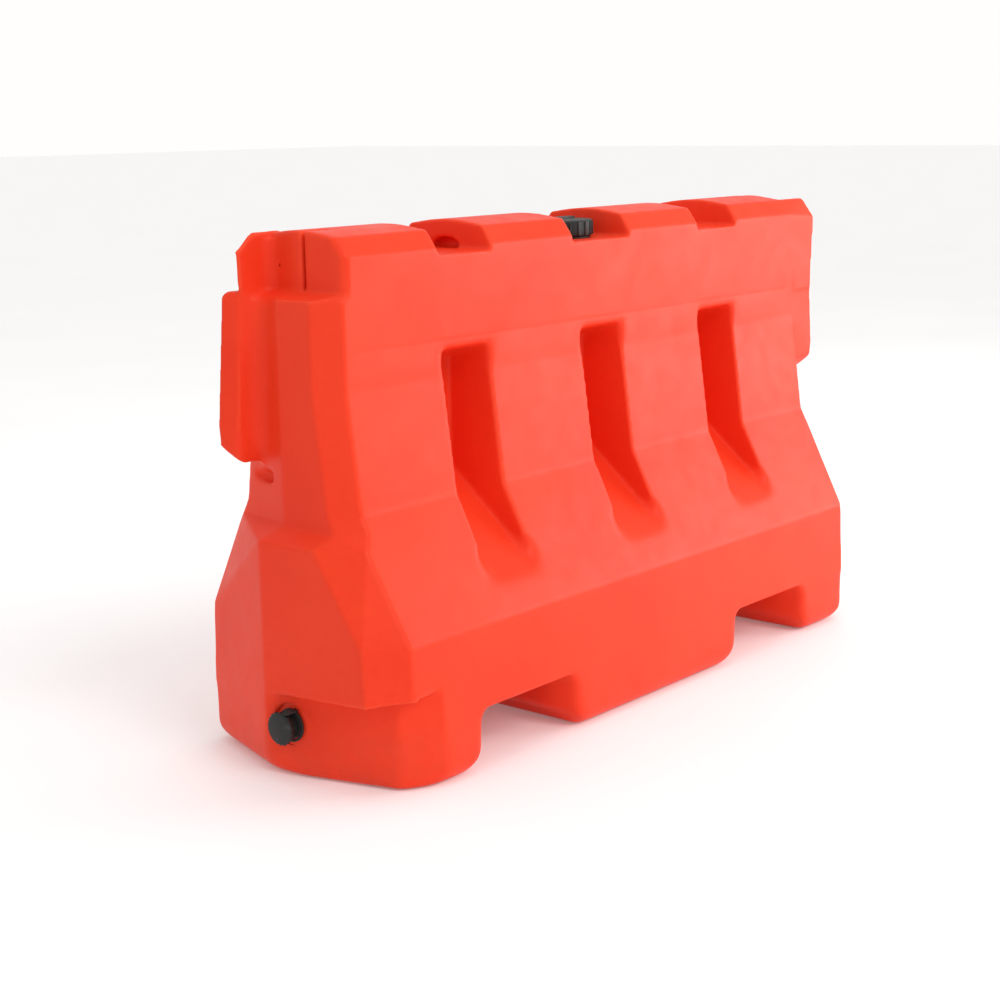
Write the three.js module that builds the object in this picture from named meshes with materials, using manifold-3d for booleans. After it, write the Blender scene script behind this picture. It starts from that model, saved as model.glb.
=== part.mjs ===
// Water-filled traffic barrier: a hollow Jersey-profile shell with a fill lid on top and a drain cap at one
// end. Units are millimetres. X runs along the barrier, Y across it (the near wall faces -Y) and Z is up
// from the ground.
import * as THREE from "three";
import { ConvexGeometry } from "three/addons/geometries/ConvexGeometry.js";
import { mergeVertices } from "three/addons/utils/BufferGeometryUtils.js";
import Module from "manifold-3d";

const wasm = await Module();
wasm.setup();

// ---------- Overall size ----------
const HEIGHT = 1073;
const WALL = 6;
const GAP = 0.3;
const ROUND_SEGMENTS = 40;
const RIB_SEGMENTS = 8;
const EYE_SEGMENTS = 20;
const OVERSHOOT = 20;
const NEAR_INSET_SHARE = 0.6;
const FAR_INSET_SHARE = 0.8;

// ---------- Jersey profile: height and half width at each level ----------
const FOOT_CHAMFER = 26;
const FOOT_HALF = 294;
const TOE_Z = 299;
const TOE_HALF = 281;
const SLOPE_TOP_Z = 538;
const SLOPE_TOP_HALF = 157;
const BATTER_TOP_Z = 770;
const WALL_HALF = 126;
const BAND_Z = 1027;
const CROWN_EDGE_Z = 1063;
const CROWN_HALF = 100;
const DOME_MID_Z = 1070;
const DOME_MID_HALF = 52;
const DOME_TOP_HALF = 14;

// ---------- Ends: the base, the trunk above it and the crown above that each step back ----------
const BASE_END = { nearX: 812, faceX: 888, corner: 55, faceY: 45, farX: 806 };
const BASE_TOP_END = { nearX: 827, faceX: 888, corner: 83, faceY: 45, farX: 810 };
const TRUNK_END = { nearX: 806, faceX: 850, corner: 47, faceY: 12, farX: 810 };
const CROWN_END = { nearX: 788, faceX: 800, corner: 11, faceY: 15, farX: 786 };
const BASE_LEDGE_Z = 478;
const BASE_LEDGE_RISE = 26;
const TRUNK_LEDGE_Z = 945;
const TRUNK_LEDGE_RISE = 12;

// ---------- Interlocking flanges ----------
const FLANGE_INNER_Y = 80;
const FLANGE_TIP_X = 873;
const FLANGE_FLARE = 26;
const FLANGE_SKEW = 14;
const FLANGE_EDGE_X = 6;
const FLANGE_EDGE_Y = 5;
const FLANGE_TOP_CHAMFER = 8;
const FLANGE_ROOT_DEPTH = 20;
const FLANGE_CAVITY_DROP = 4;
const FLANGE_TOP_Z = 958;
const FLANGE_BOTTOM_Z = 630;
const FLANGE_CORNER = 18;
const FLANGE_SLANT = 12;
const FLANGE_FILLET = 36;
const FLANGE_ROOT_X = 836;
const FIN_FILLET = 26;
const FIN_ROOT_X = 795;
const FIN_FILLET_TOP_Z = 1056;
const FILLET_STEPS = 6;
const SCOOP = { x: 830, y: 88, z: 594, depth: 16, halfWidth: 50, halfHeight: 14 };
const FIN_TIP_X = 878;
const LAP_TIP_X = 906;
const LAP_FOOT_X = 894;
const LAP_CROWN_X = 892;
const LAP_BAND_Z = 1017;
const FIN_THICKNESS = 9;
const FIN_CORNER_X = 42;
const FIN_CORNER_Z = 36;
const FIN_TOP_Z = 1070;
const LAP_PLATE_X = 812;
const LAP_PLATE_Z = 836;
const LAP_PLATE_FADE_Z = 936;
const LAP_PLATE_TIP_X = 890;
const LAP_PLATE_PROUD = 2;
const LAP_PLATE_FADE = 0.5;
const LAP_PLATE_ROOT = 4;

// ---------- Slot and dimple in the upper end wall ----------
const SLOT_Y = -16;
const SLOT_WIDTH = 9;
const SLOT_DEPTH = 70;
const DIMPLE_Y = 53;
const DIMPLE_Z = 1005;
const DIMPLE_RADIUS = 4;
const DIMPLE_DEPTH = 3;

// ---------- Vertical stiffening grooves, three on each side ----------
const GROOVE_PITCH = 457;
const GROOVE_HALF = 72;
const GROOVE_TOP_Z = 826;
const GROOVE_SHOULDER_Z = 796;
const GROOVE_FLOOR_Y = 17;
const GROOVE_DRAFT = 5;
const GROOVE_KNEE_Z = 560;
const GROOVE_FOOT_Z = 362;

// ---------- Crease line above the grooves ----------
const CREASE_Z = 843;
const CREASE_HALF_LENGTH = 778;
const CREASE_SIZE = 1.6;

// ---------- Notches in the crown ----------
const NOTCH_FLOOR_Z = 1013;
const SIDE_NOTCH_HALF = 85;
const FILL_NOTCH_HALF = 106;
const NOTCH_DRAFT = 5;
const ARCH_HALF = 40;
const ARCH_HEIGHT = 24;
const ARCH_DEPTH = 22;
const ARCH_SEGMENTS = 24;

// ---------- Fork pockets under the base ----------
const POCKET_INNER_X = 330;
const POCKET_OUTER_X = 602;
const POCKET_TOP_Z = 118;
const POCKET_CORNER = 14;
const POCKET_FLARE = 22;
const POCKET_FLARE_DEPTH = 70;
const FOOT_CORNER_Z = 40;
const FOOT_CORNER_MID_Z = 12;
const FOOT_CORNER_MID_X = 12;
const FOOT_CORNER_X = 26;
const FOOT_CORNER_INSIDE = 2;

// ---------- Recess round the foot of the end that carries the drain ----------
const RECESS_FAR_Z = 168;
const RECESS_TOP_Z = 192;
const RECESS_NEAR_Z = 200;
const RECESS_FACE_Y = 45;
const RECESS_CORNER_X = 806;
const RECESS_CORNER_Y = 238;
const RECESS_END_X = 728;
const RECESS_END_Y = 287;

// ---------- Fill neck, lid and gasket ----------
const FILL_HOLE_RADIUS = 66;
const FILL_NECK_OUTER = FILL_HOLE_RADIUS - GAP;
const FILL_NECK_BORE = 58;
const FILL_NECK_FLANGE = 76;
const FILL_NECK_FLANGE_THICKNESS = 4;
const FILL_NECK_HEIGHT = 26;
const FILL_NECK_DEPTH = 22;
const FILL_HOLE_DEPTH = 40;
const FILL_THREAD_RADIUS = 68;
const FILL_THREAD_HALF = 2;
const FILL_THREAD_RISES = [10, 16, 22];
const FILL_LID_OUTER = 80;
const FILL_LID_BORE = 72;
const FILL_LID_TOP_Z = 1058;
const FILL_LID_SKIRT_CLEARANCE = 1;
const FILL_LID_FOOT_CHAMFER = 2;
const FILL_LID_RIM_CHAMFER = 3;
const FILL_LID_RIBS = 24;
const FILL_LID_RIB_RADIUS = 2.2;
const FILL_GASKET_THICKNESS = 4;
const FILL_LID_BAR_HALF_LENGTH = 56;
const FILL_LID_BAR_HALF_WIDTH = 8;
const FILL_LID_BAR_HEIGHT = 5;

// ---------- Drain fitting, nut, gaskets, cap and tether ----------
const DRAIN_Y = -12;
const DRAIN_Z = 110;
const DRAIN_SEAT_RADIUS = 44;
const DRAIN_BOSS_RADIUS = 36;
const DRAIN_SEAT_DEPTH = 3;
const DRAIN_PAD_THICKNESS = 16;
const DRAIN_HOLE_RADIUS = 20;
const DRAIN_HOLE_REACH = 40;
const DRAIN_SPIGOT_RADIUS = DRAIN_HOLE_RADIUS - GAP;
const DRAIN_BORE = 15;
const DRAIN_FLANGE_RADIUS = 27;
const DRAIN_FLANGE_THICKNESS = 5;
const DRAIN_GASKET_THICKNESS = 3;
const DRAIN_SPIGOT_IN = 36;
const DRAIN_NUT_RADIUS = 31;
const DRAIN_NUT_THICKNESS = 12;
const DRAIN_CAP_RADIUS = 33;
const DRAIN_CAP_DISC = 9;
const DRAIN_CAP_SKIRT_RADIUS = 24;
const DRAIN_CAP_SKIRT_BORE = 20.6;
const DRAIN_CAP_SKIRT_DEPTH = 22;
const DRAIN_CAP_RIBS = 18;
const DRAIN_CAP_RIB_RADIUS = 1.5;
const DRAIN_CAP_RIM_CHAMFER = 3;
const DRAIN_CAP_CROWN = 1;
const DRAIN_SEAL_THICKNESS = 3;
const TETHER_RING_BORE = 29.5;
const TETHER_RING_OUTER = 34;
const TETHER_RING_FACE = 3.4;
const TETHER_RING_THICKNESS = 5;
const TETHER_STRAP_HALF_WIDTH = 4.5;
const TETHER_STRAP_THICKNESS = 3.5;
const TETHER_EYE_RADIUS = 6;
const TETHER_EYE_PROUD = 2;
const TETHER_TURN = 24;

// ---------- Solid helpers ----------
function toSolid(geometry) {
  const plain = geometry.clone();
  plain.deleteAttribute("normal");
  plain.deleteAttribute("uv");
  const merged = mergeVertices(plain, 1e-4);
  return new wasm.Manifold(
    new wasm.Mesh({
      numProp: 3,
      vertProperties: merged.attributes.position.array,
      triVerts: new Uint32Array(merged.index.array),
    }),
  );
}

function toGeometry(solid) {
  const mesh = solid.getMesh();
  const geometry = new THREE.BufferGeometry();
  geometry.setAttribute("position", new THREE.BufferAttribute(mesh.vertProperties, 3));
  geometry.setIndex(new THREE.BufferAttribute(mesh.triVerts, 1));
  geometry.computeVertexNormals();
  return geometry;
}

function hull(points) {
  return toSolid(new ConvexGeometry(points));
}

function at(x, y, z) {
  return new THREE.Vector3(x, y, z);
}

function box(x0, x1, y0, y1, z0, z1) {
  const geometry = new THREE.BoxGeometry(x1 - x0, y1 - y0, z1 - z0);
  geometry.translate((x0 + x1) / 2, (y0 + y1) / 2, (z0 + z1) / 2);
  return toSolid(geometry);
}

// A prism that stands on a plan outline given as [x, y] pairs.
function planPrism(outline, z0, z1) {
  const shape = new THREE.Shape(outline.map(([x, y]) => new THREE.Vector2(x, y)));
  const geometry = new THREE.ExtrudeGeometry(shape, { depth: z1 - z0, bevelEnabled: false });
  geometry.translate(0, 0, z0);
  return toSolid(geometry);
}

// A solid of revolution from a closed profile of [radius, height] pairs, standing on Z.
function turned(profile, segments = ROUND_SEGMENTS) {
  const points = profile.map(([r, z]) => new THREE.Vector2(r, z));
  points.push(points[0].clone());
  const geometry = new THREE.LatheGeometry(points, segments);
  geometry.rotateX(Math.PI / 2);
  return toSolid(geometry);
}

function cylinder(radius, z0, z1, segments = ROUND_SEGMENTS) {
  const geometry = new THREE.CylinderGeometry(radius, radius, z1 - z0, segments);
  geometry.rotateX(Math.PI / 2);
  geometry.translate(0, 0, (z0 + z1) / 2);
  return toSolid(geometry);
}

function union(solids) {
  return solids.reduce((sum, solid) => sum.add(solid));
}

// The same solid turned half a turn about the vertical axis.
function opposite(solid) {
  return solid.rotate([0, 0, 180]);
}

// ---------- Jersey body ----------
// Half width of the outer profile at height z.
function halfWidth(z) {
  const levels = [
    [0, FOOT_HALF],
    [TOE_Z, TOE_HALF],
    [SLOPE_TOP_Z, SLOPE_TOP_HALF],
    [BATTER_TOP_Z, WALL_HALF],
    [BAND_Z, WALL_HALF],
    [CROWN_EDGE_Z, CROWN_HALF],
    [DOME_MID_Z, DOME_MID_HALF],
    [HEIGHT, DOME_TOP_HALF],
  ];
  const next = levels.findIndex(([level]) => level > z);
  if (next < 0) return DOME_TOP_HALF;
  const [z0, w0] = levels[next - 1];
  const [z1, w1] = levels[next];
  return w0 + ((w1 - w0) * (z - z0)) / (z1 - z0);
}

// Plan outline at height z, drawn inset by a constant distance. Both ends are the same, half a turn apart.
function outlineAt(z, end, inset = 0) {
  const w = halfWidth(z) - inset;
  const near = end.nearX - inset * NEAR_INSET_SHARE;
  const face = end.faceX - inset;
  const far = end.farX - inset * FAR_INSET_SHARE;
  const left = [
    [-far, w],
    [-face, end.faceY],
    [-face, -w + end.corner],
    [-near, -w],
  ];
  return [...left, ...left.map(([x, y]) => [-x, -y])];
}

function slab(z0, end0, z1, end1, inset0 = 0, inset1 = inset0) {
  const lower = outlineAt(z0, end0, inset0).map(([x, y]) => at(x, y, z0));
  const upper = outlineAt(z1, end1, inset1).map(([x, y]) => at(x, y, z1));
  return hull([...lower, ...upper]);
}

// The crown is slightly domed so that rain runs off.
function crownDome() {
  const levels = [CROWN_EDGE_Z, DOME_MID_Z, HEIGHT];
  return hull(levels.flatMap((z) => outlineAt(z, CROWN_END).map(([x, y]) => at(x, y, z))));
}

function jerseyBody() {
  const baseTop = BASE_LEDGE_Z + BASE_LEDGE_RISE;
  const trunkTop = TRUNK_LEDGE_Z + TRUNK_LEDGE_RISE;
  return union([
    slab(0, BASE_END, FOOT_CHAMFER, BASE_END, FOOT_CHAMFER, 0),
    slab(FOOT_CHAMFER, BASE_END, TOE_Z, BASE_END),
    slab(TOE_Z, BASE_END, BASE_LEDGE_Z, BASE_TOP_END),
    slab(BASE_LEDGE_Z, BASE_TOP_END, baseTop, TRUNK_END),
    slab(baseTop, TRUNK_END, SLOPE_TOP_Z, TRUNK_END),
    slab(SLOPE_TOP_Z, TRUNK_END, BATTER_TOP_Z, TRUNK_END),
    slab(BATTER_TOP_Z, TRUNK_END, TRUNK_LEDGE_Z, TRUNK_END),
    slab(TRUNK_LEDGE_Z, TRUNK_END, trunkTop, CROWN_END),
    slab(trunkTop, CROWN_END, BAND_Z, CROWN_END),
    slab(BAND_Z, CROWN_END, CROWN_EDGE_Z, CROWN_END),
    crownDome(),
  ]);
}

// The water space: the body drawn one wall thickness inside its outer face.
function tankCavity() {
  const trunkTop = TRUNK_LEDGE_Z - WALL;
  return union([
    slab(WALL, BASE_END, FOOT_CHAMFER, BASE_END, FOOT_CHAMFER, WALL),
    slab(FOOT_CHAMFER, BASE_END, TOE_Z, BASE_END, WALL),
    slab(TOE_Z, BASE_END, BASE_LEDGE_Z - WALL, BASE_TOP_END, WALL),
    slab(BASE_LEDGE_Z - WALL, TRUNK_END, SLOPE_TOP_Z, TRUNK_END, WALL),
    slab(SLOPE_TOP_Z, TRUNK_END, BATTER_TOP_Z, TRUNK_END, WALL),
    slab(BATTER_TOP_Z, TRUNK_END, trunkTop, TRUNK_END, WALL),
    slab(trunkTop, CROWN_END, BAND_Z, CROWN_END, WALL),
    slab(BAND_Z, CROWN_END, CROWN_EDGE_Z - WALL, CROWN_END, WALL),
  ]);
}

// ---------- Flanges ----------
// A hollow corner fillet between an end wall and the inner face of the flange.
function cornerFillet(rootX, radius, z0, z1) {
  const centreX = -rootX - radius;
  const centreY = FLANGE_INNER_Y - radius;
  const behindX = -rootX + FLANGE_ROOT_DEPTH;
  const behindY = FLANGE_INNER_Y + FIN_THICKNESS / 2;
  const outline = [];
  for (let i = 0; i <= FILLET_STEPS; i += 1) {
    const angle = (i / FILLET_STEPS) * (Math.PI / 2);
    outline.push([centreX + radius * Math.cos(angle), centreY + radius * Math.sin(angle)]);
  }
  outline.push([centreX, behindY]);
  outline.push([behindX, behindY]);
  outline.push([behindX, centreY]);
  return planPrism(outline, z0, z1);
}

function flangeRoot() {
  const footZ = FLANGE_BOTTOM_Z + FLANGE_CORNER;
  const lower = cornerFillet(FLANGE_ROOT_X, FLANGE_FILLET, footZ, TRUNK_LEDGE_Z);
  const upper = cornerFillet(FIN_ROOT_X, FIN_FILLET, TRUNK_LEDGE_Z, FIN_FILLET_TOP_Z);
  return lower.add(upper);
}

// The flange tip flares outwards towards its foot, and its outer edge reaches further than its inner one.
function thickFlange(topZ, inset = 0) {
  const rootX = CROWN_END.nearX - FLANGE_ROOT_DEPTH + inset;
  const y0 = FLANGE_INNER_Y + inset;
  const y1 = WALL_HALF - inset;
  const footZ = FLANGE_BOTTOM_Z + FLANGE_CORNER;
  const tipTop = FLANGE_TIP_X - inset;
  const tipFoot = tipTop + FLANGE_FLARE;
  const outline = (tip, z, cut, slant = 0) => [
    at(-tip + cut, y0, z - slant),
    at(-tip - FLANGE_SKEW + cut, y1 - FLANGE_EDGE_Y - cut, z + slant),
    at(-tip - FLANGE_SKEW + FLANGE_EDGE_X + cut, y1 - cut, z + slant),
    at(-rootX, y1 - cut, z + slant),
    at(-rootX, y0, z - slant),
  ];
  return hull([
    ...outline(tipTop, topZ - FLANGE_TOP_CHAMFER, 0),
    ...outline(tipTop, topZ, FLANGE_TOP_CHAMFER),
    ...outline(tipFoot, footZ + inset, 0, FLANGE_SLANT),
    ...outline(tipFoot, FLANGE_BOTTOM_Z + inset, FLANGE_CORNER, FLANGE_SLANT),
  ]);
}

function thinFin() {
  const rootX = CROWN_END.nearX - FLANGE_ROOT_DEPTH;
  const footZ = TRUNK_LEDGE_Z - 5;
  const outline = [
    [-rootX, footZ],
    [-rootX, FIN_TOP_Z],
    [-FIN_TIP_X + FIN_CORNER_X, FIN_TOP_Z],
    [-FIN_TIP_X, FIN_TOP_Z - FIN_CORNER_Z],
    [-FLANGE_TIP_X, footZ],
  ];
  const points = outline.flatMap(([x, z]) => [
    at(x, FLANGE_INNER_Y, z),
    at(x, FLANGE_INNER_Y + FIN_THICKNESS, z),
  ]);
  return hull(points);
}

function leftFlange() {
  return union([thickFlange(FLANGE_TOP_Z), thinFin(), flangeRoot()]);
}

// The right flange is flush with the near wall and carries the crown profile out to its tip.
function rightFlange() {
  const lower = opposite(thickFlange(FLANGE_TOP_Z));
  const rootX = CROWN_END.nearX - FLANGE_ROOT_DEPTH;
  const upper = hull([
    at(rootX, -FLANGE_INNER_Y, LAP_PLATE_Z),
    at(LAP_FOOT_X, -FLANGE_INNER_Y, LAP_PLATE_Z),
    at(rootX, -WALL_HALF, LAP_PLATE_Z),
    at(LAP_FOOT_X, -WALL_HALF, LAP_PLATE_Z),
    at(LAP_TIP_X, -FLANGE_INNER_Y, LAP_BAND_Z),
    at(rootX, -WALL_HALF, BAND_Z),
    at(LAP_TIP_X, -WALL_HALF, LAP_BAND_Z),
    at(rootX, -FLANGE_INNER_Y, CROWN_EDGE_Z),
    at(rootX, -CROWN_HALF, CROWN_EDGE_Z),
    at(LAP_CROWN_X, -FLANGE_INNER_Y, CROWN_EDGE_Z),
    at(LAP_CROWN_X, -CROWN_HALF, CROWN_EDGE_Z),
  ]);
  return union([lower, upper, lapPlate(), opposite(flangeRoot())]);
}

// A slightly raised plate on the outside of the right flange, which fades into the wall at its top.
function lapPlate() {
  const face = -WALL_HALF - LAP_PLATE_PROUD;
  const faded = -WALL_HALF + LAP_PLATE_FADE;
  const root = -WALL_HALF + LAP_PLATE_ROOT;
  const points = [LAP_PLATE_X, LAP_PLATE_TIP_X].flatMap((x) => [
    at(x, face, LAP_PLATE_Z),
    at(x, root, LAP_PLATE_Z),
    at(x, faded, LAP_PLATE_FADE_Z),
    at(x, root, LAP_PLATE_FADE_Z),
  ]);
  return hull(points);
}

function flangeCavities() {
  const left = thickFlange(FLANGE_TOP_Z - WALL - FLANGE_CAVITY_DROP, WALL);
  return union([left, opposite(left)]);
}

// ---------- Features cut out of the body ----------
// A groove with a deep flat floor that ramps in under the shoulder and runs out on the slope.
function groove(centreX, grow = 0) {
  const mouthY = FOOT_HALF;
  const h = GROOVE_HALF + grow;
  const floor = GROOVE_FLOOR_Y - grow;
  const draft = GROOVE_DRAFT;
  const side = [
    [mouthY, GROOVE_TOP_Z + grow],
    [WALL_HALF, GROOVE_TOP_Z + grow],
    [floor, GROOVE_SHOULDER_Z + grow],
    [floor, GROOVE_KNEE_Z - grow],
    [halfWidth(GROOVE_FOOT_Z) - grow, GROOVE_FOOT_Z - grow],
    [mouthY, GROOVE_FOOT_Z - grow],
  ];
  const points = side.flatMap(([y, z]) => {
    const narrow = y < WALL_HALF ? draft : 0;
    return [at(centreX - h + narrow, -y, z), at(centreX + h - narrow, -y, z)];
  });
  return hull(points);
}

function grooves(grow = 0) {
  const near = [-1, 0, 1].map((i) => groove(i * GROOVE_PITCH, grow));
  return union([...near, ...near.map(opposite)]);
}

function notch(centreX, half, grow = 0) {
  const floorZ = NOTCH_FLOOR_Z - grow;
  const wide = half + grow;
  const slim = wide - NOTCH_DRAFT;
  const points = [];
  for (const y of [-WALL_HALF - OVERSHOOT, WALL_HALF + OVERSHOOT]) {
    points.push(at(centreX - wide, y, HEIGHT + OVERSHOOT), at(centreX + wide, y, HEIGHT + OVERSHOOT));
    points.push(at(centreX - slim, y, floorZ), at(centreX + slim, y, floorZ));
  }
  return hull(points);
}

function notches(grow = 0) {
  return union([
    notch(-GROOVE_PITCH, SIDE_NOTCH_HALF, grow),
    notch(0, FILL_NOTCH_HALF, grow),
    notch(GROOVE_PITCH, SIDE_NOTCH_HALF, grow),
  ]);
}

// The half-round hollow at the foot of the block end that faces each side notch.
function notchArch(grow = 0) {
  const radius = ARCH_HALF + grow;
  const startX = -GROOVE_PITCH + SIDE_NOTCH_HALF - OVERSHOOT;
  const endX = -GROOVE_PITCH + SIDE_NOTCH_HALF + ARCH_DEPTH + grow;
  const geometry = new THREE.CylinderGeometry(radius, radius, endX - startX, ARCH_SEGMENTS);
  geometry.rotateZ(Math.PI / 2);
  geometry.scale(1, 1, (ARCH_HEIGHT + grow) / radius);
  geometry.translate((startX + endX) / 2, 0, NOTCH_FLOOR_Z);
  const tunnel = toSolid(geometry);
  const aboveFloor = box(startX, endX, -WALL_HALF, WALL_HALF, NOTCH_FLOOR_Z - grow, HEIGHT);
  return tunnel.intersect(aboveFloor);
}

function pocketPoints(y, innerX, outerX, topZ, bottomZ) {
  return [
    at(innerX, y, bottomZ),
    at(outerX, y, bottomZ),
    at(innerX, y, topZ - POCKET_CORNER),
    at(innerX + POCKET_CORNER, y, topZ),
    at(outerX - POCKET_CORNER, y, topZ),
    at(outerX, y, topZ - POCKET_CORNER),
  ];
}

// A fork pocket is open below and runs straight through the base, with flared mouths.
function forkPocket(grow = 0) {
  const inner = POCKET_INNER_X - grow;
  const outer = POCKET_OUTER_X + grow;
  const top = POCKET_TOP_Z + grow;
  const reach = FOOT_HALF + OVERSHOOT;
  const flareStart = FOOT_HALF - POCKET_FLARE_DEPTH;
  const slim = (y) => pocketPoints(y, inner, outer, top, -OVERSHOOT);
  const wide = (y) =>
    pocketPoints(y, inner - POCKET_FLARE, outer + POCKET_FLARE / 2, top + POCKET_FLARE / 2, -OVERSHOOT);
  const through = hull([...slim(-reach), ...slim(reach)]);
  const flares = [-1, 1].map((side) =>
    hull([...slim(side * flareStart), ...wide(side * FOOT_HALF), ...wide(side * reach)]),
  );
  return union([through, ...flares, pocketFoot(grow)]);
}

// The lower corners of the feet are cut back on either side of a pocket.
function pocketFoot(grow) {
  const reach = FOOT_HALF + OVERSHOOT;
  const inner = POCKET_INNER_X - POCKET_FLARE - grow;
  const outer = POCKET_OUTER_X + POCKET_FLARE / 2 + grow;
  const steps = [
    [-FOOT_CORNER_INSIDE, FOOT_CORNER_Z + grow],
    [FOOT_CORNER_MID_X, FOOT_CORNER_MID_Z + grow],
    [FOOT_CORNER_X, 0],
    [FOOT_CORNER_X, -OVERSHOOT],
  ];
  const points = [-reach, reach].flatMap((y) =>
    steps.flatMap(([wider, z]) => [at(inner - wider, y, z), at(outer + wider, y, z)]),
  );
  return hull(points);
}

function forkPockets(grow = 0) {
  const right = forkPocket(grow);
  return union([right, opposite(right)]);
}

// The recess round the foot leaves an overhang above the drain. Its top edge falls towards the far side.
function footRecess(grow = 0) {
  const outX = -BASE_END.faceX - OVERSHOOT;
  const outY = -FOOT_HALF - OVERSHOOT;
  const far = [-BASE_END.faceX + grow, RECESS_FACE_Y + grow];
  const corner = [-RECESS_CORNER_X + grow, -RECESS_CORNER_Y + grow];
  const near = [-RECESS_END_X + grow, -RECESS_END_Y + grow];
  const column = ([x, y], topZ) => [at(x, y, -OVERSHOOT), at(x, y, topZ + grow)];
  const endPart = hull([
    ...column(far, RECESS_FAR_Z),
    ...column([outX, far[1]], RECESS_FAR_Z),
    ...column(corner, RECESS_TOP_Z),
    ...column([corner[0], outY], RECESS_TOP_Z),
    ...column([outX, outY], RECESS_TOP_Z),
  ]);
  const nearPart = hull([
    ...column(corner, RECESS_TOP_Z),
    ...column([corner[0], outY], RECESS_TOP_Z),
    ...column(near, RECESS_NEAR_Z),
    ...column([near[0], outY], RECESS_NEAR_Z),
  ]);
  return endPart.add(nearPart);
}

function footRecesses(grow = 0) {
  const left = footRecess(grow);
  return union([left, opposite(left)]);
}

function endSlot(grow = 0) {
  const left = box(
    -CROWN_END.faceX - OVERSHOOT,
    -CROWN_END.faceX + SLOT_DEPTH + grow,
    SLOT_Y - SLOT_WIDTH / 2 - grow,
    SLOT_Y + SLOT_WIDTH / 2 + grow,
    TRUNK_LEDGE_Z + TRUNK_LEDGE_RISE - grow,
    HEIGHT + OVERSHOOT,
  );
  return union([left, opposite(left)]);
}

function endDimple() {
  const geometry = new THREE.CylinderGeometry(DIMPLE_RADIUS, DIMPLE_RADIUS, 2 * DIMPLE_DEPTH, ARCH_SEGMENTS);
  geometry.rotateZ(Math.PI / 2);
  const share = (DIMPLE_Y - CROWN_END.faceY) / (WALL_HALF - CROWN_END.faceY);
  const wallX = CROWN_END.faceX + (CROWN_END.farX - CROWN_END.faceX) * share;
  geometry.translate(-wallX, DIMPLE_Y, DIMPLE_Z);
  return toSolid(geometry);
}

// A shallow scoop in the end wall, just under the flange.
function flangeScoop(grow = 0) {
  const geometry = new THREE.SphereGeometry(1, ARCH_SEGMENTS, ARCH_SEGMENTS);
  geometry.scale(SCOOP.depth + grow, SCOOP.halfWidth + grow, SCOOP.halfHeight + grow);
  geometry.translate(-SCOOP.x, SCOOP.y, SCOOP.z);
  const left = toSolid(geometry);
  return left.add(opposite(left));
}

function creases() {
  const s = CREASE_SIZE;
  const points = [-CREASE_HALF_LENGTH, CREASE_HALF_LENGTH].flatMap((x) => [
    at(x, -WALL_HALF - 1, CREASE_Z - s),
    at(x, -WALL_HALF - 1, CREASE_Z + s),
    at(x, -WALL_HALF + s, CREASE_Z),
  ]);
  const near = hull(points);
  return union([near, opposite(near)]);
}

// ---------- Placing things on the drain axis, which leaves the recessed end face at right angles ----------
function recessFaceX() {
  const share = (RECESS_FACE_Y - DRAIN_Y) / (RECESS_FACE_Y + RECESS_CORNER_Y);
  return -BASE_END.faceX + (BASE_END.faceX - RECESS_CORNER_X) * share;
}

const DRAIN_SEAT_X = recessFaceX() + DRAIN_SEAT_DEPTH;

// A solid standing on Z is laid over so that its +Z points out of the end, along -X.
function ontoDrainAxis(solid) {
  return solid.rotate([0, -90, 0]).translate([DRAIN_SEAT_X, DRAIN_Y, DRAIN_Z]);
}

function drainSeat() {
  return ontoDrainAxis(cylinder(DRAIN_SEAT_RADIUS, 0, DRAIN_HOLE_REACH));
}

function drainHole() {
  return ontoDrainAxis(cylinder(DRAIN_HOLE_RADIUS, -DRAIN_HOLE_REACH, DRAIN_HOLE_REACH));
}

function drainBoss() {
  return ontoDrainAxis(cylinder(DRAIN_BOSS_RADIUS, -DRAIN_PAD_THICKNESS, 0));
}

function drainWallBacking() {
  return ontoDrainAxis(cylinder(DRAIN_SEAT_RADIUS + WALL, -DRAIN_PAD_THICKNESS, DRAIN_HOLE_REACH));
}

// ---------- The shell ----------
function barrierShell() {
  const outer = jerseyBody()
    .add(leftFlange())
    .add(rightFlange())
    .subtract(grooves())
    .subtract(notches())
    .subtract(forkPockets())
    .subtract(footRecesses())
    .subtract(endSlot())
    .subtract(notchArch())
    .subtract(opposite(notchArch()))
    .subtract(endDimple())
    .subtract(creases())
    .subtract(flangeScoop())
    .subtract(drainSeat())
    .add(drainBoss());
  const cavity = tankCavity()
    .add(flangeCavities())
    .subtract(grooves(WALL))
    .subtract(notches(WALL))
    .subtract(forkPockets(WALL))
    .subtract(footRecesses(WALL))
    .subtract(endSlot(WALL))
    .subtract(notchArch(WALL))
    .subtract(opposite(notchArch(WALL)))
    .subtract(flangeScoop(WALL))
    .subtract(drainWallBacking());
  const fillHole = cylinder(FILL_HOLE_RADIUS, NOTCH_FLOOR_Z - FILL_HOLE_DEPTH, HEIGHT);
  return outer.subtract(cavity).subtract(fillHole).subtract(drainHole());
}

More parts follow.
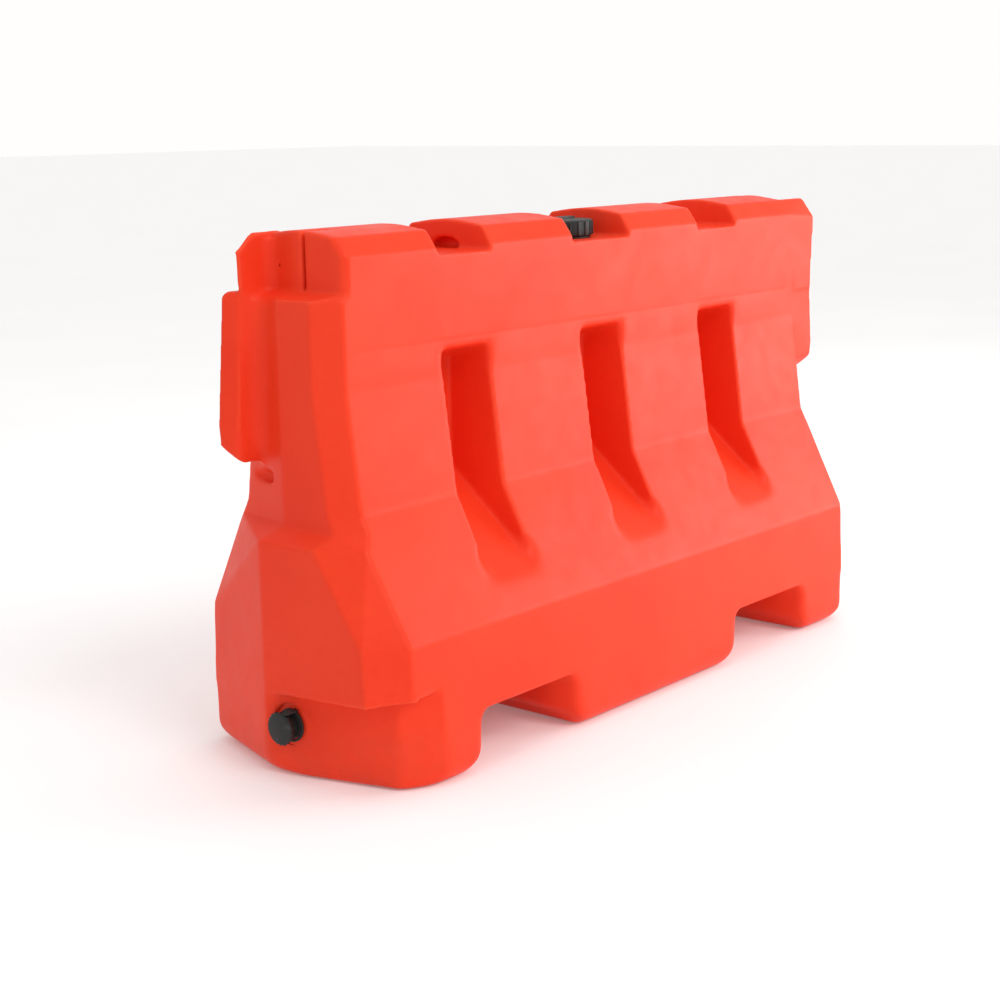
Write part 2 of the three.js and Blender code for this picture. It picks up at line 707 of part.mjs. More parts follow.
// ---------- Fill neck, lid and gasket ----------
function fillNeck() {
  const z = NOTCH_FLOOR_Z + GAP;
  const ring = turned([
    [FILL_NECK_BORE, z - FILL_NECK_DEPTH],
    [FILL_NECK_OUTER, z - FILL_NECK_DEPTH],
    [FILL_NECK_OUTER, z],
    [FILL_NECK_FLANGE, z],
    [FILL_NECK_FLANGE, z + FILL_NECK_FLANGE_THICKNESS],
    [FILL_NECK_OUTER, z + FILL_NECK_FLANGE_THICKNESS],
    [FILL_NECK_OUTER, z + FILL_NECK_HEIGHT],
    [FILL_NECK_BORE, z + FILL_NECK_HEIGHT],
  ]);
  const threads = FILL_THREAD_RISES.map((rise) =>
    turned([
      [FILL_NECK_OUTER - FILL_THREAD_HALF, z + rise - FILL_THREAD_HALF],
      [FILL_THREAD_RADIUS, z + rise],
      [FILL_NECK_OUTER - FILL_THREAD_HALF, z + rise + FILL_THREAD_HALF],
    ]),
  );
  return union([ring, ...threads]);
}

function fillLidGasket() {
  const z = NOTCH_FLOOR_Z + GAP + FILL_NECK_HEIGHT + GAP;
  return turned([
    [FILL_NECK_BORE, z],
    [FILL_NECK_OUTER, z],
    [FILL_NECK_OUTER, z + FILL_GASKET_THICKNESS],
    [FILL_NECK_BORE, z + FILL_GASKET_THICKNESS],
  ]);
}

function fillLid() {
  const skirtZ = NOTCH_FLOOR_Z + GAP + FILL_NECK_FLANGE_THICKNESS + FILL_LID_SKIRT_CLEARANCE;
  const roofZ = NOTCH_FLOOR_Z + GAP + FILL_NECK_HEIGHT + GAP + FILL_GASKET_THICKNESS + GAP;
  const rimZ = FILL_LID_TOP_Z - FILL_LID_BAR_HEIGHT;
  const ribFoot = skirtZ + FILL_LID_FOOT_CHAMFER;
  const ribTop = rimZ - FILL_LID_RIM_CHAMFER;
  const bowl = turned([
    [0, roofZ],
    [FILL_LID_BORE, roofZ],
    [FILL_LID_BORE, skirtZ],
    [FILL_LID_OUTER - FILL_LID_FOOT_CHAMFER, skirtZ],
    [FILL_LID_OUTER, ribFoot],
    [FILL_LID_OUTER, ribTop],
    [FILL_LID_OUTER - FILL_LID_RIM_CHAMFER, rimZ],
    [0, rimZ],
  ]);
  const ribs = [];
  for (let i = 0; i < FILL_LID_RIBS; i += 1) {
    const angle = (i / FILL_LID_RIBS) * 2 * Math.PI;
    const rib = cylinder(FILL_LID_RIB_RADIUS, ribFoot, ribTop, RIB_SEGMENTS);
    ribs.push(rib.translate([FILL_LID_OUTER * Math.cos(angle), FILL_LID_OUTER * Math.sin(angle), 0]));
  }
  const bar = box(
    -FILL_LID_BAR_HALF_LENGTH,
    FILL_LID_BAR_HALF_LENGTH,
    -FILL_LID_BAR_HALF_WIDTH,
    FILL_LID_BAR_HALF_WIDTH,
    rimZ - 1,
    FILL_LID_TOP_Z,
  );
  return union([bowl, ...ribs, bar]);
}

// ---------- Drain fitting, nut, gaskets, cap and tether ----------
// Heights below are measured out from the seat along the drain axis.
const FLANGE_FACE = DRAIN_GASKET_THICKNESS + 2 * GAP;
const SKIRT_FACE = FLANGE_FACE + DRAIN_FLANGE_THICKNESS + GAP;
const DISC_FACE = SKIRT_FACE + DRAIN_CAP_SKIRT_DEPTH;
const SPIGOT_END = DISC_FACE - DRAIN_SEAL_THICKNESS - 2 * GAP;

function drainFitting() {
  const body = turned([
    [DRAIN_BORE, -DRAIN_SPIGOT_IN],
    [DRAIN_SPIGOT_RADIUS, -DRAIN_SPIGOT_IN],
    [DRAIN_SPIGOT_RADIUS, FLANGE_FACE],
    [DRAIN_FLANGE_RADIUS, FLANGE_FACE],
    [DRAIN_FLANGE_RADIUS, FLANGE_FACE + DRAIN_FLANGE_THICKNESS],
    [DRAIN_SPIGOT_RADIUS, FLANGE_FACE + DRAIN_FLANGE_THICKNESS],
    [DRAIN_SPIGOT_RADIUS, SPIGOT_END],
    [DRAIN_BORE, SPIGOT_END],
  ]);
  return ontoDrainAxis(body);
}

function drainFittingGasket() {
  return ontoDrainAxis(
    turned([
      [DRAIN_HOLE_RADIUS, GAP],
      [DRAIN_FLANGE_RADIUS, GAP],
      [DRAIN_FLANGE_RADIUS, GAP + DRAIN_GASKET_THICKNESS],
      [DRAIN_HOLE_RADIUS, GAP + DRAIN_GASKET_THICKNESS],
    ]),
  );
}

function drainFittingNut() {
  const top = -DRAIN_PAD_THICKNESS - GAP;
  const hexagon = cylinder(DRAIN_NUT_RADIUS, top - DRAIN_NUT_THICKNESS, top, 6);
  const bore = cylinder(DRAIN_HOLE_RADIUS, top - DRAIN_NUT_THICKNESS - 1, top + 1);
  return ontoDrainAxis(hexagon.subtract(bore));
}

function drainCapSeal() {
  const z = SPIGOT_END + GAP;
  return ontoDrainAxis(
    turned([
      [DRAIN_BORE, z],
      [DRAIN_SPIGOT_RADIUS, z],
      [DRAIN_SPIGOT_RADIUS, z + DRAIN_SEAL_THICKNESS],
      [DRAIN_BORE, z + DRAIN_SEAL_THICKNESS],
    ]),
  );
}

// A ribbed disc with a threaded skirt behind it that screws over the spigot.
function drainCap() {
  const top = DISC_FACE + DRAIN_CAP_DISC;
  const ribTop = top - DRAIN_CAP_RIM_CHAMFER;
  const body = turned([
    [0, DISC_FACE],
    [DRAIN_CAP_SKIRT_BORE, DISC_FACE],
    [DRAIN_CAP_SKIRT_BORE, SKIRT_FACE],
    [DRAIN_CAP_SKIRT_RADIUS, SKIRT_FACE],
    [DRAIN_CAP_SKIRT_RADIUS, DISC_FACE],
    [DRAIN_CAP_RADIUS - 1, DISC_FACE],
    [DRAIN_CAP_RADIUS, DISC_FACE + 1],
    [DRAIN_CAP_RADIUS, ribTop],
    [DRAIN_CAP_RADIUS - DRAIN_CAP_RIM_CHAMFER, top],
    [0, top + DRAIN_CAP_CROWN],
  ]);
  const ribs = [];
  for (let i = 0; i < DRAIN_CAP_RIBS; i += 1) {
    const angle = (i / DRAIN_CAP_RIBS) * 2 * Math.PI;
    const rib = cylinder(DRAIN_CAP_RIB_RADIUS, DISC_FACE + 1, ribTop, RIB_SEGMENTS);
    ribs.push(rib.translate([DRAIN_CAP_RADIUS * Math.cos(angle), DRAIN_CAP_RADIUS * Math.sin(angle), 0]));
  }
  return ontoDrainAxis(union([body, ...ribs]));
}

// A loose ring round the spigot, with a strap and an eye that hold the rim of the cap, turned a little to
// the near side.
function drainCapTether() {
  const z = TETHER_RING_FACE;
  const ring = turned([
    [TETHER_RING_BORE, z],
    [TETHER_RING_OUTER, z],
    [TETHER_RING_OUTER, z + TETHER_RING_THICKNESS],
    [TETHER_RING_BORE, z + TETHER_RING_THICKNESS],
  ]);
  const clear = DRAIN_CAP_RADIUS + DRAIN_CAP_RIB_RADIUS + 2 * GAP;
  const outer = clear + TETHER_STRAP_THICKNESS;
  const w = TETHER_STRAP_HALF_WIDTH;
  const tab = box(TETHER_RING_BORE + 1, outer, -w, w, z, z + TETHER_RING_THICKNESS);
  const strap = box(clear, outer, -w, w, z, DISC_FACE + DRAIN_CAP_DISC - DRAIN_CAP_RIM_CHAMFER);
  const eye = cylinder(TETHER_EYE_RADIUS, 0, TETHER_STRAP_THICKNESS + TETHER_EYE_PROUD, EYE_SEGMENTS)
    .rotate([0, 90, 0])
    .translate([clear, 0, DISC_FACE - DRAIN_CAP_RIM_CHAMFER]);
  return ontoDrainAxis(union([ring, tab, strap, eye]).rotate([0, 0, -TETHER_TURN]));
}

// ---------- Materials ----------
function plastic(colour, roughness) {
  return new THREE.MeshStandardMaterial({ color: colour, roughness, metalness: 0 });
}

const PIECES = [
  ["barrier_shell", barrierShell, plastic(0xe8452f, 0.42)],
  ["fill_neck", fillNeck, plastic(0x1b1c1a, 0.55)],
  ["fill_lid", fillLid, plastic(0x232624, 0.5)],
  ["fill_lid_gasket", fillLidGasket, plastic(0x101010, 0.85)],
  ["drain_fitting", drainFitting, plastic(0x1a1b19, 0.55)],
  ["drain_fitting_gasket", drainFittingGasket, plastic(0x0f0f0f, 0.88)],
  ["drain_fitting_nut", drainFittingNut, plastic(0x1d1e1c, 0.6)],
  ["drain_cap", drainCap, plastic(0x222421, 0.5)],
  ["drain_cap_seal", drainCapSeal, plastic(0x111111, 0.86)],
  ["drain_cap_tether", drainCapTether, plastic(0x151515, 0.75)],
];

const barrier = new THREE.Group();
barrier.name = "traffic_barrier";
for (const [name, build, material] of PIECES) {
  const mesh = new THREE.Mesh(toGeometry(build()), material);
  mesh.name = name;
  barrier.add(mesh);
}

export default barrier;
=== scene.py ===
# Looks of a water-filled traffic barrier: one rounded plastic moulding with a fill lid on top and a drain
# cap at its left end. Everything is in metres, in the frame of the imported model.
import math

import bmesh
import bpy
import numpy as np
from mathutils import Matrix, Vector


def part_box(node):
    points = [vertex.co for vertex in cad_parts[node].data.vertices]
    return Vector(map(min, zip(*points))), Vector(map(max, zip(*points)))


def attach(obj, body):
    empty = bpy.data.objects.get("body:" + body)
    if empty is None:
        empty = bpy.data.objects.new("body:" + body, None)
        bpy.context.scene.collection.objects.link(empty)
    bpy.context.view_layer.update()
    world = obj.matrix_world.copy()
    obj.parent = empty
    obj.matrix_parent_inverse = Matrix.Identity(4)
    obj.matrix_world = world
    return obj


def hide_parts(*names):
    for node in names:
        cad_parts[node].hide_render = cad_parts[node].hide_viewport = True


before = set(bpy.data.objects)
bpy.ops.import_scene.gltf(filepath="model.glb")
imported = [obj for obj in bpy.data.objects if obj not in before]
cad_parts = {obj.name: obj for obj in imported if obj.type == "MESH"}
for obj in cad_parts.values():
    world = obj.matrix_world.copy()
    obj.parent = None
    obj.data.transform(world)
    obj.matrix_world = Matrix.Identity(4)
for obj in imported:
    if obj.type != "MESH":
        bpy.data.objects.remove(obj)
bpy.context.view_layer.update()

# ---------- Shell ----------
VOXEL = 0.0042
INNER_VOXEL = 0.009
EDGE_SIGMA = 0.0038
FOOT_SIGMA = 0.0165
FOOT_TOP_Z = 0.075
FOOT_FADE_Z = 0.13
GROOVE_PITCH = 0.457
GROOVE_EDGE_X, GROOVE_FADE_X = 0.085, 0.11
GROOVE_LEVEL_REACH, GROOVE_LEVEL_FADE = 0.03, 0.06
GROOVES_END = 1.3 * GROOVE_PITCH
GROOVE_TOP_Z = 0.82
GROOVE_SIGMA = 0.010
GROOVE_FOOT_Z = 0.375
GROOVE_FOOT_SIGMA = 0.017
FLANGE_ROOT_SIGMA = 0.016
FLANGE_ROOT_Y, FLANGE_ROOT_REACH_Y, FLANGE_ROOT_FADE_Y = 0.058, 0.026, 0.045
FLANGE_ROOT_Z, FLANGE_ROOT_REACH_Z, FLANGE_ROOT_FADE_Z = 0.785, 0.15, 0.19
FLANGE_ROOT_START_X, FLANGE_ROOT_FULL_X = 0.80, 0.825
FLANGE_ROOT_LAST_X, FLANGE_ROOT_END_X = 0.860, 0.885
FLANGE_FOOT_SIGMA = 0.010
FLANGE_FOOT_Z, FLANGE_FOOT_REACH, FLANGE_FOOT_FADE = 0.64, 0.03, 0.06
FLANGE_FOOT_START_X, FLANGE_FOOT_FULL_X = 0.855, 0.880
CREASE_Z = 0.843
CREASE_DEPTH = 0.0009
CREASE_WIDTH = 0.005
CREASE_END_X = 0.778
WALL_Y = 0.118
SHELL_FACES = 170_000
INNER_FACES = 16_000
FILL_HOLE_RADIUS = 0.066
DRAIN_Y, DRAIN_Z = -0.012, 0.110
DRAIN_HOLE_RADIUS = 0.020
DRAIN_HOLE_IN, DRAIN_HOLE_OUT = 0.82, 0.90
FILL_HOLE_LOW, FILL_HOLE_HIGH = 0.96, 1.08
DRAIN_SEAT_RADIUS = 0.0437
DRAIN_SEAT_FLOOR, DRAIN_SEAT_OUT = 0.8690, 0.92
DIMPLE_PLACE = (-0.7952, 0.053, 1.005)
DIMPLE_RADIUS = 0.004
DIMPLE_DEPTH = 0.003
RADIUS_TOLERANCE = 0.0002

# ---------- Round black pieces ----------
NECK_FOOT_Z = 1.0133
NECK_BORE = 0.058
NECK_TUBE = 0.0657
NECK_FLANGE = 0.004
NECK_ROUND = 0.001
NECK_STEP = 0.0005
SPIGOT_FLANGE_X = -0.8721
SPIGOT_BORE = 0.015
SPIGOT_TUBE = 0.0197
SPIGOT_FLANGE = 0.027
SPIGOT_FLANGE_THICKNESS = 0.005
SPIGOT_ROUND = 0.0008
SPIGOT_END_ROUND = 0.001
ROUND = 96
THREAD_ROOT = 0.0006
THREAD_LEAST = 0.00005
THREAD_HALF_SHARE = 0.36
THREAD_FLAT_SHARE = 0.3
THREAD_TAPER = 6
THREAD_CLEAR = 0.009

# ---------- Plain CAD pieces with rounded edges: node, name, edge width, body, material slot ----------
REFINED = (
    ("fill_lid", "ribbed_fill_lid", 0.0008, "lid", "cap_plastic"),
    ("drain_cap", "ribbed_drain_cap", 0.0006, "cap", "cap_plastic"),
    ("drain_fitting_nut", "hexagon_nut", 0.001, "shell", "cap_plastic"),
    ("fill_lid_gasket", "lid_gasket", 0.001, "lid_lift", "seal_rubber"),
    ("drain_fitting_gasket", "spigot_gasket", 0.0008, "shell", "seal_rubber"),
    ("drain_cap_seal", "cap_seal", 0.0008, "cap_pull", "seal_rubber"),
    ("drain_cap_tether", "cap_tether", 0.0008, "tether", "seal_rubber"),
)

# ---------- Camera and studio ----------
CAMERA_AZIMUTH, CAMERA_ELEVATION, CAMERA_ROLL = 49.85, 11.94, -0.87
CAMERA_TARGET = (-0.2104, 0.0, 0.4486)
CAMERA_DISTANCE = 4.010
CAMERA_LENS = 65.21
CAMERA_SENSOR = 36
FLOOR_HALF = 60
FLOOR_DROP = 0.0005
FLOOR_GLOW = 0.12
WORLD_LIGHT = 0.74
WORLD_SEEN = 1.0


# ---------- Mesh helpers ----------
def link(name, mesh):
    piece = bpy.data.objects.new(name, mesh)
    bpy.context.scene.collection.objects.link(piece)
    return piece


def from_bmesh(name, bm):
    mesh = bpy.data.meshes.new(name)
    bm.to_mesh(mesh)
    bm.free()
    return link(name, mesh)


def modifier(piece, kind, **settings):
    added = piece.modifiers.new(kind.title(), kind)
    for key, value in settings.items():
        setattr(added, key, value)
    return added


def apply_modifiers(piece):
    graph = bpy.context.evaluated_depsgraph_get()
    mesh = bpy.data.meshes.new_from_object(piece.evaluated_get(graph))
    piece.modifiers.clear()
    piece.data = mesh
    return piece


def shade(piece, angle=38):
    piece.data.polygons.foreach_set("use_smooth", [True] * len(piece.data.polygons))
    piece.data.set_sharp_from_angle(angle=math.radians(angle))


def remove(piece):
    bpy.data.objects.remove(piece, do_unlink=True)


def cut(piece, *tools):
    for tool in tools:
        modifier(piece, "BOOLEAN", operation="DIFFERENCE", object=tool, solver="MANIFOLD")
        apply_modifiers(piece)
        remove(tool)


def rod(radius, low, high, placing):
    """A closed cylinder along its own Z, laid out by a matrix."""
    bm = bmesh.new()
    bmesh.ops.create_cone(
        bm, cap_ends=True, segments=ROUND, radius1=radius, radius2=radius, depth=high - low,
        matrix=placing @ Matrix.Translation((0, 0, (low + high) / 2)),
    )
    return from_bmesh("rod", bm)


# ---------- The shell's two skins ----------
def on_fill_hole(p):
    return p.z > FILL_HOLE_LOW and abs(math.hypot(p.x, p.y) - FILL_HOLE_RADIUS) < RADIUS_TOLERANCE


def on_drain_hole(p):
    radius = math.hypot(p.y - DRAIN_Y, p.z - DRAIN_Z)
    return p.x < -DRAIN_HOLE_IN and abs(radius - DRAIN_HOLE_RADIUS) < RADIUS_TOLERANCE


def island(start):
    found, waiting = {start}, [start]
    while waiting:
        vertex = waiting.pop()
        for edge in vertex.link_edges:
            other = edge.other_vert(vertex)
            if other not in found:
                found.add(other)
                waiting.append(other)
    return found


def closed_skin(outer):
    """The moulding's outer or inner skin, closed over the fill and drain holes and facing out."""
    bm = bmesh.new()
    bm.from_mesh(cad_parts["barrier_shell"].data)
    bmesh.ops.remove_doubles(bm, verts=bm.verts, dist=1e-5)
    bores = [
        face for face in bm.faces
        if all(on_fill_hole(v.co) for v in face.verts) or all(on_drain_hole(v.co) for v in face.verts)
    ]
    bmesh.ops.delete(bm, geom=bores, context="FACES")
    outside = island(min(bm.verts, key=lambda v: v.co.z))
    unwanted = [v for v in bm.verts if (v in outside) != outer]
    bmesh.ops.delete(bm, geom=unwanted, context="VERTS")
    bmesh.ops.holes_fill(bm, edges=[e for e in bm.edges if e.is_boundary], sides=0)
    bmesh.ops.recalc_face_normals(bm, faces=bm.faces)
    return from_bmesh("outer_skin" if outer else "inner_skin", bm)


def relax(points, edges, share, rounds):
    """Moves each point part of the way to the mean of its neighbours, by its own share."""
    first, second = edges[:, 0], edges[:, 1]
    count = np.bincount(edges.ravel(), minlength=len(points))[:, None]
    for _ in range(rounds):
        total = np.stack(
            [
                np.bincount(first, points[second, axis], len(points))
                + np.bincount(second, points[first, axis], len(points))
                for axis in range(3)
            ],
            axis=1,
        )
        points += share[:, None] * (total / count - points)


def rounds_for(sigma, voxel, share=0.5):
    return max(1, round((sigma / voxel) ** 2 * 2 / share))


def falloff(value, full, none):
    return np.clip((none - value) / (none - full), 0.0, 1.0)


def near_grooves(points, level):
    """1 where a groove crosses a level and 0 away from it, so that its corners come out rounder there."""
    along = np.abs((np.abs(points[:, 0]) + GROOVE_PITCH / 2) % GROOVE_PITCH - GROOVE_PITCH / 2)
    sideways = falloff(along, GROOVE_EDGE_X, GROOVE_FADE_X)
    height = falloff(np.abs(points[:, 2] - level), GROOVE_LEVEL_REACH, GROOVE_LEVEL_FADE)
    inside = (np.abs(points[:, 0]) < GROOVES_END).astype(float)
    return sideways * height * inside


def near_flange_roots(points):
    """1 in the corner between each end wall and its flange, which is one soft hollow."""
    length = np.abs(points[:, 0])
    across = -np.sign(points[:, 0]) * points[:, 1]
    corner = falloff(np.abs(across - FLANGE_ROOT_Y), FLANGE_ROOT_REACH_Y, FLANGE_ROOT_FADE_Y)
    corner *= falloff(-length, -FLANGE_ROOT_FULL_X, -FLANGE_ROOT_START_X)
    level = falloff(np.abs(points[:, 2] - FLANGE_ROOT_Z), FLANGE_ROOT_REACH_Z, FLANGE_ROOT_FADE_Z)
    return corner * level * falloff(length, FLANGE_ROOT_LAST_X, FLANGE_ROOT_END_X)


def near_flange_feet(points):
    """1 at the lower corners of each flange."""
    length = np.abs(points[:, 0])
    level = falloff(np.abs(points[:, 2] - FLANGE_FOOT_Z), FLANGE_FOOT_REACH, FLANGE_FOOT_FADE)
    return falloff(-length, -FLANGE_FOOT_FULL_X, -FLANGE_FOOT_START_X) * level


def round_off(piece, voxel):
    """Remeshes a skin evenly and rounds its edges, most of all round the foot."""
    modifier(piece, "REMESH", mode="VOXEL", voxel_size=voxel)
    apply_modifiers(piece)
    mesh = piece.data
    points = np.empty(len(mesh.vertices) * 3)
    mesh.vertices.foreach_get("co", points)
    points = points.reshape(-1, 3)
    edges = np.empty(len(mesh.edges) * 2, dtype=np.int64)
    mesh.edges.foreach_get("vertices", edges)
    edges = edges.reshape(-1, 2)
    everywhere = np.full(len(points), 0.5)
    relax(points, edges, everywhere, rounds_for(EDGE_SIGMA, voxel))
    relax(points, edges, 0.5 * near_grooves(points, GROOVE_TOP_Z), rounds_for(GROOVE_SIGMA, voxel))
    relax(points, edges, 0.5 * near_grooves(points, GROOVE_FOOT_Z), rounds_for(GROOVE_FOOT_SIGMA, voxel))
    relax(points, edges, 0.5 * near_flange_roots(points), rounds_for(FLANGE_ROOT_SIGMA, voxel))
    relax(points, edges, 0.5 * near_flange_feet(points), rounds_for(FLANGE_FOOT_SIGMA, voxel))
    foot = 0.5 * falloff(points[:, 2], FOOT_TOP_Z, FOOT_FADE_Z)
    relax(points, edges, foot, rounds_for(FOOT_SIGMA, voxel))
    return points


def write_points(piece, points):
    piece.data.vertices.foreach_set("co", points.ravel())
    piece.data.update()


def press_crease(points):
    """The faint line that runs along both walls above the grooves."""
    on_wall = np.abs(points[:, 1]) > WALL_Y
    along = np.abs(points[:, 0]) < CREASE_END_X
    depth = CREASE_DEPTH * falloff(np.abs(points[:, 2] - CREASE_Z), 0.0, CREASE_WIDTH)
    points[:, 1] -= np.sign(points[:, 1]) * depth * on_wall * along


def thin_out(piece, faces):
    piece.data.calc_loop_triangles()
    ratio = faces / len(piece.data.loop_triangles)
    if ratio < 1:
        modifier(piece, "DECIMATE", ratio=ratio)
        apply_modifiers(piece)


def barrier_moulding():
    skin = closed_skin(outer=True)
    points = round_off(skin, VOXEL)
    press_crease(points)
    write_points(skin, points)
    thin_out(skin, SHELL_FACES)
    hollow = closed_skin(outer=False)
    write_points(hollow, round_off(hollow, INNER_VOXEL))
    thin_out(hollow, INNER_FACES)
    fill_hole = rod(FILL_HOLE_RADIUS, FILL_HOLE_LOW, FILL_HOLE_HIGH, Matrix.Identity(4))
    across = Matrix.Translation((0, DRAIN_Y, DRAIN_Z)) @ Matrix.Rotation(-math.pi / 2, 4, "Y")
    drain_hole = rod(DRAIN_HOLE_RADIUS, DRAIN_HOLE_IN, DRAIN_HOLE_OUT, across)
    drain_seat = rod(DRAIN_SEAT_RADIUS, DRAIN_SEAT_FLOOR, DRAIN_SEAT_OUT, across)
    into_wall = Matrix.Translation(DIMPLE_PLACE) @ Matrix.Rotation(math.pi / 2, 4, "Y")
    dimple = rod(DIMPLE_RADIUS, -DIMPLE_DEPTH, DIMPLE_DEPTH, into_wall)
    cut(skin, hollow, fill_hole, drain_hole, drain_seat, dimple)
    skin.name = "moulded_shell"
    shade(skin, 50)
    return skin


# ---------- Round pieces ----------
def lathed(bm, profile, placing, segments=ROUND):
    """A closed solid of revolution from [radius, height] pairs."""
    rings = []
    for i in range(segments):
        angle = 2 * math.pi * i / segments
        c, s = math.cos(angle), math.sin(angle)
        rings.append([bm.verts.new(placing @ Vector((r * c, r * s, z))) for r, z in profile])
    count = len(profile)
    for i in range(segments):
        here, there = rings[i], rings[(i + 1) % segments]
        for j in range(count):
            k = (j + 1) % count
            bm.faces.new((here[j], there[j], there[k], here[k]))


def thread(bm, radius, depth, pitch, low, turns, placing, steps=72):
    """A helical ridge, rooted a little inside a tube, that tapers away at both ends."""
    root = radius - THREAD_ROOT
    half = THREAD_HALF_SHARE * pitch
    flat = THREAD_FLAT_SHARE * half
    total = int(turns * steps)
    rows = []
    for i in range(total + 1):
        angle = 2 * math.pi * i / steps
        z = low + pitch * i / steps
        taper = min(1.0, THREAD_TAPER * i / total, THREAD_TAPER * (total - i) / total)
        crest = radius + max(depth * taper, THREAD_LEAST)
        c, s = math.cos(angle), math.sin(angle)
        section = ((root, -half), (crest, -flat), (crest, flat), (root, half))
        rows.append([bm.verts.new(placing @ Vector((r * c, r * s, z + dz))) for r, dz in section])
    for here, there in zip(rows, rows[1:]):
        for j in range(4):
            k = (j + 1) % 4
            bm.faces.new((here[j], there[j], there[k], here[k]))
    bm.faces.new(rows[0])
    bm.faces.new(rows[-1][::-1])


def finish_round(name, bm):
    bmesh.ops.recalc_face_normals(bm, faces=bm.faces)
    piece = from_bmesh(name, bm)
    shade(piece)
    return piece


def fill_neck():
    low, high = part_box("fill_neck")
    flange_z = NECK_FOOT_Z
    flange_top = flange_z + NECK_FLANGE
    upper = NECK_TUBE - NECK_STEP
    wide = high.x
    bm = bmesh.new()
    lathed(
        bm,
        [
            (NECK_BORE, low.z), (NECK_TUBE, low.z), (NECK_TUBE, flange_z),
            (wide - NECK_ROUND, flange_z), (wide, flange_z + NECK_ROUND),
            (wide, flange_top - NECK_ROUND), (wide - NECK_ROUND, flange_top),
            (NECK_TUBE + NECK_ROUND, flange_top), (upper, flange_top + NECK_ROUND + NECK_STEP),
            (upper, high.z - NECK_ROUND), (upper - NECK_ROUND, high.z),
            (NECK_BORE + NECK_ROUND, high.z), (NECK_BORE, high.z - NECK_ROUND),
        ],
        Matrix.Identity(4),
    )
    low_turn = flange_z + THREAD_CLEAR
    thread(bm, upper, depth=0.0024, pitch=0.006, low=low_turn, turns=2.2, placing=Matrix.Identity(4))
    return finish_round("threaded_fill_neck", bm)


def drain_spigot():
    low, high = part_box("drain_fitting")
    # Heights run out of the wall, along -X.
    placing = Matrix.Translation((high.x, DRAIN_Y, DRAIN_Z)) @ Matrix.Rotation(-math.pi / 2, 4, "Y")
    length = high.x - low.x
    face = high.x - SPIGOT_FLANGE_X
    flange_out = face + SPIGOT_FLANGE_THICKNESS
    outer = SPIGOT_TUBE - SPIGOT_ROUND
    bm = bmesh.new()
    lathed(
        bm,
        [
            (SPIGOT_BORE, 0), (SPIGOT_TUBE, 0), (SPIGOT_TUBE, face),
            (SPIGOT_FLANGE - SPIGOT_ROUND, face), (SPIGOT_FLANGE, face + SPIGOT_ROUND),
            (SPIGOT_FLANGE, flange_out - SPIGOT_ROUND), (SPIGOT_FLANGE - SPIGOT_ROUND, flange_out),
            (outer, flange_out), (outer, length - SPIGOT_END_ROUND),
            (outer - SPIGOT_END_ROUND, length), (SPIGOT_BORE + SPIGOT_ROUND, length),
            (SPIGOT_BORE, length - SPIGOT_ROUND),
        ],
        placing,
    )
    low_turn = face + THREAD_CLEAR
    thread(bm, outer, depth=0.0008, pitch=0.0035, low=low_turn, turns=2.6, placing=placing)
    return finish_round("threaded_drain_spigot", bm)


def refined(node, name, width, angle=38, segments=2):
    """A copy of a plain CAD piece with its edges rounded."""
    bm = bmesh.new()
    bm.from_mesh(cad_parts[node].data)
    bmesh.ops.remove_doubles(bm, verts=bm.verts, dist=1e-6)
    bmesh.ops.dissolve_limit(bm, angle_limit=math.radians(1), verts=bm.verts, edges=bm.edges)
    piece = from_bmesh(name, bm)
    modifier(
        piece, "BEVEL", width=width, segments=segments, limit_method="ANGLE",
        angle_limit=math.radians(angle), harden_normals=False,
    )
    modifier(piece, "TRIANGULATE")
    apply_modifiers(piece)
    shade(piece, 30)
    return piece


